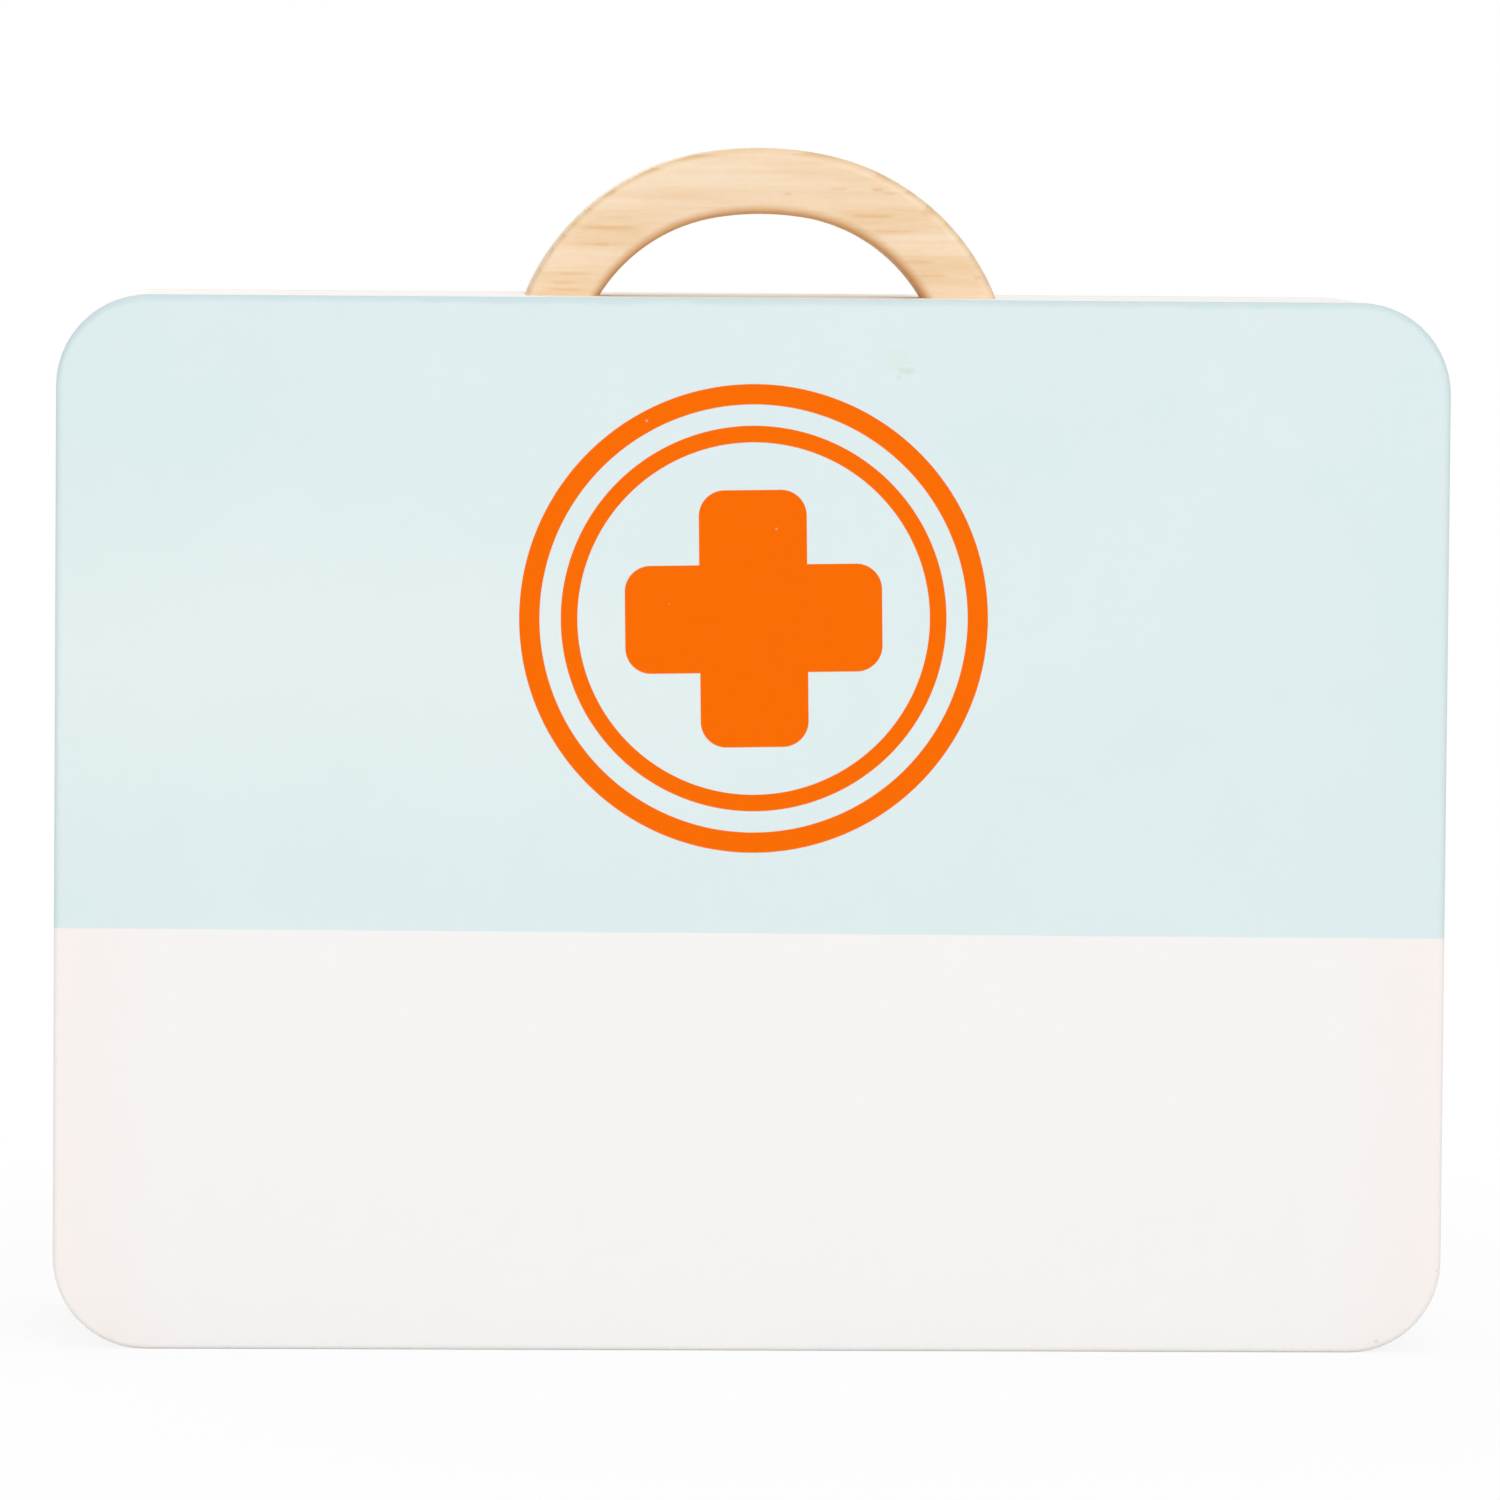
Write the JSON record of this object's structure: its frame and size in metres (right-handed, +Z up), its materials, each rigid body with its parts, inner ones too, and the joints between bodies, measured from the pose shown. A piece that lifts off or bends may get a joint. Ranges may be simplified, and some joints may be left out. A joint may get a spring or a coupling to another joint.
{
  "type": "toy doctor case",
  "caption": "Upright wooden play doctor case: a shallow box-jointed tray, a front lid that folds down on hinges at its bottom edge, magnet catches and an arched carrying handle.",
  "frame": {"origin": "middle of the footprint on the floor, under the closed case", "axes": "+X to the right across the front lid, +Y from the front lid to the back panel, +Z up to the handle"},
  "size_m": [0.28, 0.08, 0.242],
  "materials": {
    "painted_lid": "fibreboard with a satin two-tone paint, pale aqua over off-white",
    "painted_white": "satin off-white paint on wood",
    "bare_pine": "sanded pine under a thin matt lacquer",
    "brass_fittings": "brass plated, polished",
    "zinc_steel": "zinc plated steel",
    "plated_magnet": "nickel plated disc"
  },
  "bodies": {
    "tray": {"back_panel": "painted_white", "top_rail": "painted_white", "bottom_rail": "painted_white", "left_rail": "painted_white", "right_rail": "painted_white", "carry_handle": "bare_pine", "handle_screws": "zinc_steel", "body_magnets": "plated_magnet", "left_hinge_body_leaf": "brass_fittings", "left_hinge_pin": "zinc_steel", "right_hinge_body_leaf": "brass_fittings", "right_hinge_pin": "zinc_steel", "hinge_body_screws": "brass_fittings"},
    "lid": {"front_lid": "painted_lid", "lid_magnets": "plated_magnet", "left_hinge_lid_leaf": "brass_fittings", "right_hinge_lid_leaf": "brass_fittings", "hinge_lid_screws": "brass_fittings"}
  },
  "joints": [
    {"name": "lid_hinge", "type": "hinge", "parent": "tray", "child": "lid", "pos_m": [0, -0.0338, 0.0023], "axis": [1, 0, 0], "range_deg": [0, 90]}
  ]
}
